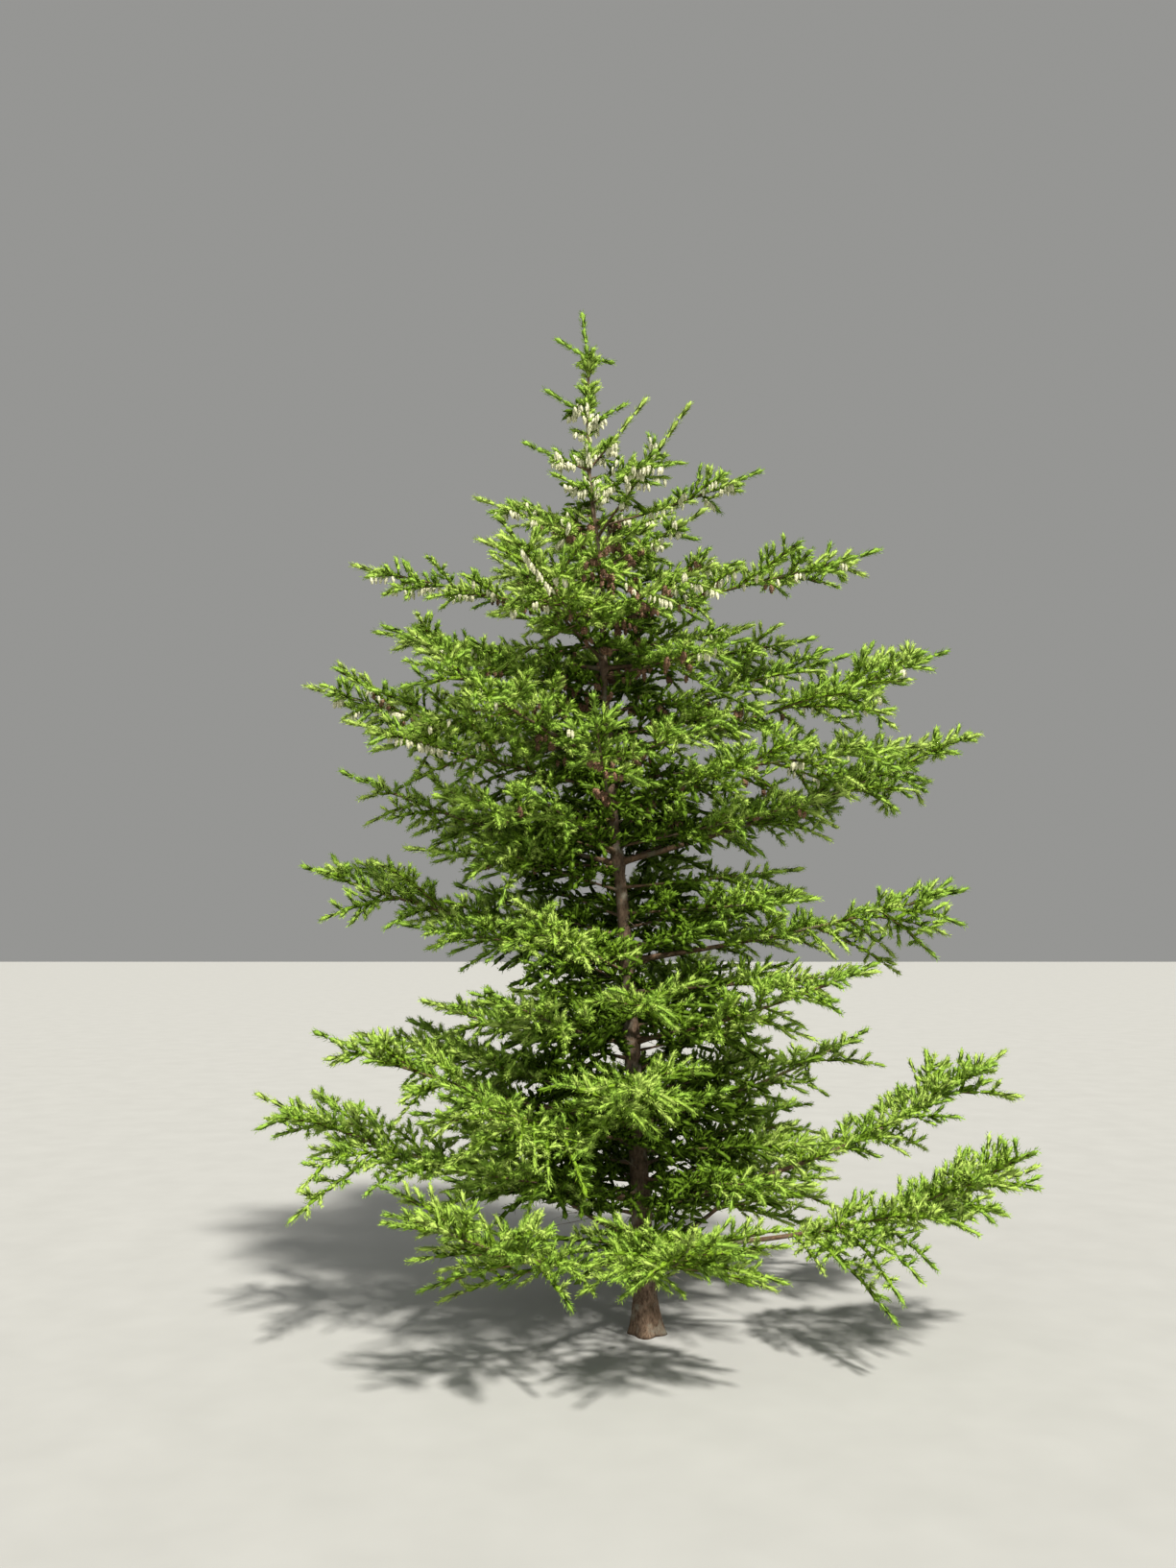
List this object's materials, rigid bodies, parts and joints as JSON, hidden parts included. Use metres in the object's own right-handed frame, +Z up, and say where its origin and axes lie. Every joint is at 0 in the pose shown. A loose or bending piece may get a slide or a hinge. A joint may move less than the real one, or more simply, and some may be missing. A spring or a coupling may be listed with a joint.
{
  "type": "red spruce tree",
  "caption": "Young open-grown red spruce with a leaning tapered trunk, whorled boughs, flat plumes of needle sprays and hanging cones.",
  "frame": {"origin": "middle of the flat cut under the trunk, at ground level", "axes": "+Z up the tree, -Y towards the picture's viewer, +X to the viewer's right"},
  "size_m": [3.2178, 2.7262, 4.39],
  "materials": {
    "bark": "rough scaly reddish-grey bark",
    "needles": "waxy mid-green needles with yellow-green new shoots",
    "twigs": "thin matt orange-brown twigs",
    "cones": "smooth pale scaly cones"
  },
  "bodies": {
    "root": {"bough_1a": "bark", "bough_1b": "bark", "bough_1c": "bark", "bough_1d": "bark", "bough_1e": "bark", "bough_2a": "bark", "bough_2c": "bark", "bough_5a": "bark", "bough_5d": "bark", "bough_6a": "bark", "bough_8b": "bark", "foliage_10a": "needles", "foliage_10b": "needles", "foliage_10c": "needles", "foliage_11a": "needles", "foliage_12a": "needles", "foliage_12b": "needles", "foliage_12c": "needles", "foliage_12d": "needles", "foliage_12e": "needles", "foliage_13a": "needles", "foliage_13b": "needles", "foliage_13c": "needles", "foliage_14a": "needles", "foliage_14b": "needles", "foliage_1a": "needles", "foliage_1b": "needles", "foliage_1c": "needles", "foliage_1d": "needles", "foliage_1e": "needles", "foliage_2a": "needles", "foliage_2b": "needles", "foliage_2c": "needles", "foliage_3a": "needles", "foliage_3b": "needles", "foliage_3c": "needles", "foliage_3d": "needles", "foliage_4a": "needles", "foliage_4b": "needles", "foliage_4c": "needles", "foliage_5a": "needles", "foliage_5b": "needles", "foliage_5c": "needles", "foliage_5d": "needles", "foliage_6a": "needles", "foliage_6b": "needles", "foliage_6c": "needles", "foliage_6d": "needles", "foliage_7a": "needles", "foliage_8a": "needles", "foliage_8b": "needles", "foliage_8c": "needles", "foliage_8d": "needles", "foliage_8e": "needles", "foliage_9a": "needles", "foliage_9b": "needles", "foliage_9c": "needles", "foliage_9d": "needles", "foliage_leader": "needles", "trunk": "bark"}
  },
  "joints": []
}
